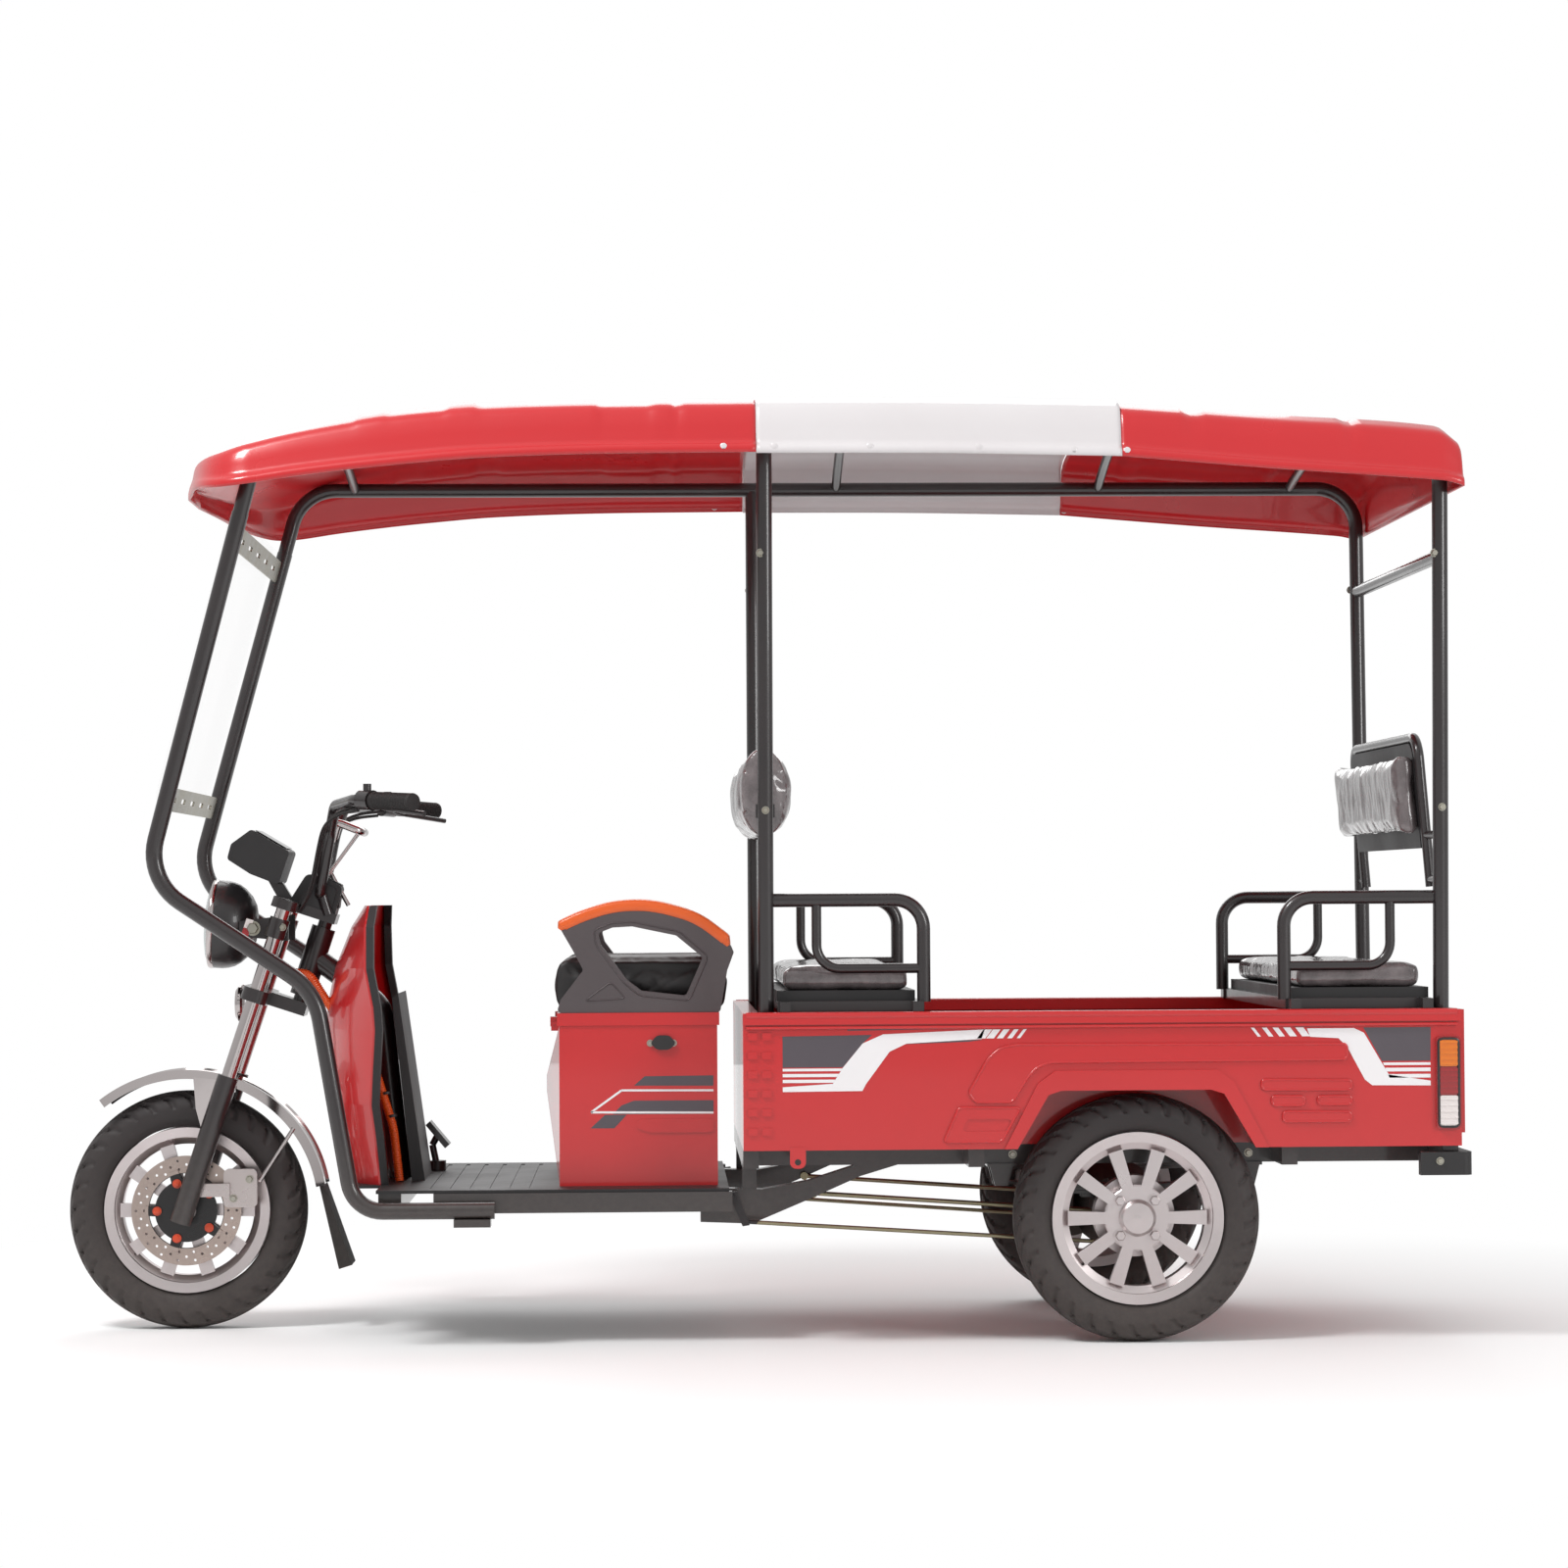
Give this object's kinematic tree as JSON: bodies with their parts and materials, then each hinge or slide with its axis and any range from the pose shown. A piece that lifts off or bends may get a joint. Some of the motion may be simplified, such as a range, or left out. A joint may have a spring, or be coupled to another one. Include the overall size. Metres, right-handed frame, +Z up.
{
  "type": "electric cargo tricycle",
  "caption": "Electric tricycle with a hard canopy, a driver seat over the battery box, and an open cargo box with facing benches and a drop tailgate.",
  "frame": {"origin": "on the ground, in the middle of the overall length and width", "axes": "+X forward, +Y to the left of the driver, +Z up"},
  "size_m": [2.7289, 1.15, 1.8318],
  "materials": {
    "wrapped_seat": "black seat cover under clear wrap",
    "red_paint": "gloss red paint",
    "black_plastic": "moulded black plastic",
    "black_paint": "satin black paint",
    "disc_steel": "drilled brake steel",
    "zinc_steel": "zinc plated steel",
    "iron_grey": "grey cast metal",
    "chrome": "bright chrome",
    "cast_alloy": "cast and turned alloy",
    "tyre_rubber": "black tyre rubber",
    "black_rubber": "black rubber",
    "red_shell": "gloss red moulded shell",
    "white_shell": "gloss white moulded shell",
    "orange_pad": "orange foam skin",
    "grey_plastic": "moulded dark grey plastic",
    "black_seat": "black seat cover",
    "lamp_lens": "ribbed lamp lens",
    "clear_pane": "clear pane",
    "orange_conduit": "orange corrugated conduit"
  },
  "bodies": {
    "chassis": {"back_pads": "wrapped_seat", "battery_box": "red_paint", "battery_pack": "black_plastic", "bench_boards": "black_plastic", "bench_frames": "black_paint", "bench_pads": "wrapped_seat", "box_floor": "red_paint", "box_front": "red_paint", "box_sides": "red_paint", "brake_linkage": "zinc_steel", "brake_pedal": "black_paint", "canopy_bows": "black_paint", "canopy_posts": "black_paint", "canopy_rails": "black_paint", "drive_motor": "iron_grey", "floor_frame": "black_paint", "foot_board": "black_plastic", "front_loops": "black_paint", "head_tube": "black_paint", "inner_cover": "black_plastic", "leaf_springs": "black_paint", "leg_shield": "red_paint", "main_frame": "black_paint", "rear_axle": "iron_grey", "rear_bumper": "black_plastic", "roof_front": "red_shell", "roof_middle": "white_shell", "roof_rear": "red_shell", "tail_lamps": "lamp_lens", "windscreen": "clear_pane", "windscreen_rails": "zinc_steel", "wiring_conduit": "orange_conduit"},
    "steering": {"fork_legs": "black_paint", "fork_tubes": "chrome", "fork_clamps": "black_paint", "handlebar": "black_paint", "grips": "black_rubber", "headlight": "chrome", "instrument_cluster": "black_plastic", "front_mudguard": "chrome", "mud_flap": "black_rubber", "horn": "chrome", "brake_caliper": "disc_steel", "hand_levers": "black_paint", "key_switch": "black_plastic"},
    "front_wheel": {"front_tyre": "tyre_rubber", "front_rim": "cast_alloy", "front_brake_disc": "disc_steel"},
    "rear_left_wheel": {"rear_left_tyre": "tyre_rubber", "rear_left_rim": "cast_alloy"},
    "rear_right_wheel": {"rear_right_tyre": "tyre_rubber", "rear_right_rim": "cast_alloy"},
    "tailgate": {"tailgate": "red_paint"},
    "driver_seat": {"seat_lid": "red_paint", "seat_arms": "grey_plastic", "seat_arm_pads": "orange_pad", "seat_pad": "black_seat"}
  },
  "joints": [
    {"name": "steer", "type": "hinge", "parent": "chassis", "child": "steering", "pos_m": [0.87689, 0, 0.74], "axis": [-0.314, 0, 0.9494], "range_deg": [-40, 40]},
    {"name": "front_spin", "type": "hinge", "parent": "steering", "child": "front_wheel", "pos_m": [1.1275, 0, 0.237], "axis": [0, 1, 0], "continuous": true},
    {"name": "rear_left_spin", "type": "hinge", "parent": "chassis", "child": "rear_left_wheel", "pos_m": [-0.7275, 0.385, 0.237], "axis": [0, 1, 0], "continuous": true},
    {"name": "rear_right_spin", "type": "hinge", "parent": "chassis", "child": "rear_right_wheel", "pos_m": [-0.7275, -0.385, 0.237], "axis": [0, 1, 0], "continuous": true},
    {"name": "tailgate_hinge", "type": "hinge", "parent": "chassis", "child": "tailgate", "pos_m": [-1.35, 0, 0.384], "axis": [0, -1, 0], "range_deg": [0, 90]},
    {"name": "seat_hinge", "type": "hinge", "parent": "chassis", "child": "driver_seat", "pos_m": [0.393, 0, 0.609], "axis": [0, 1, 0], "range_deg": [0, 60]}
  ]
}
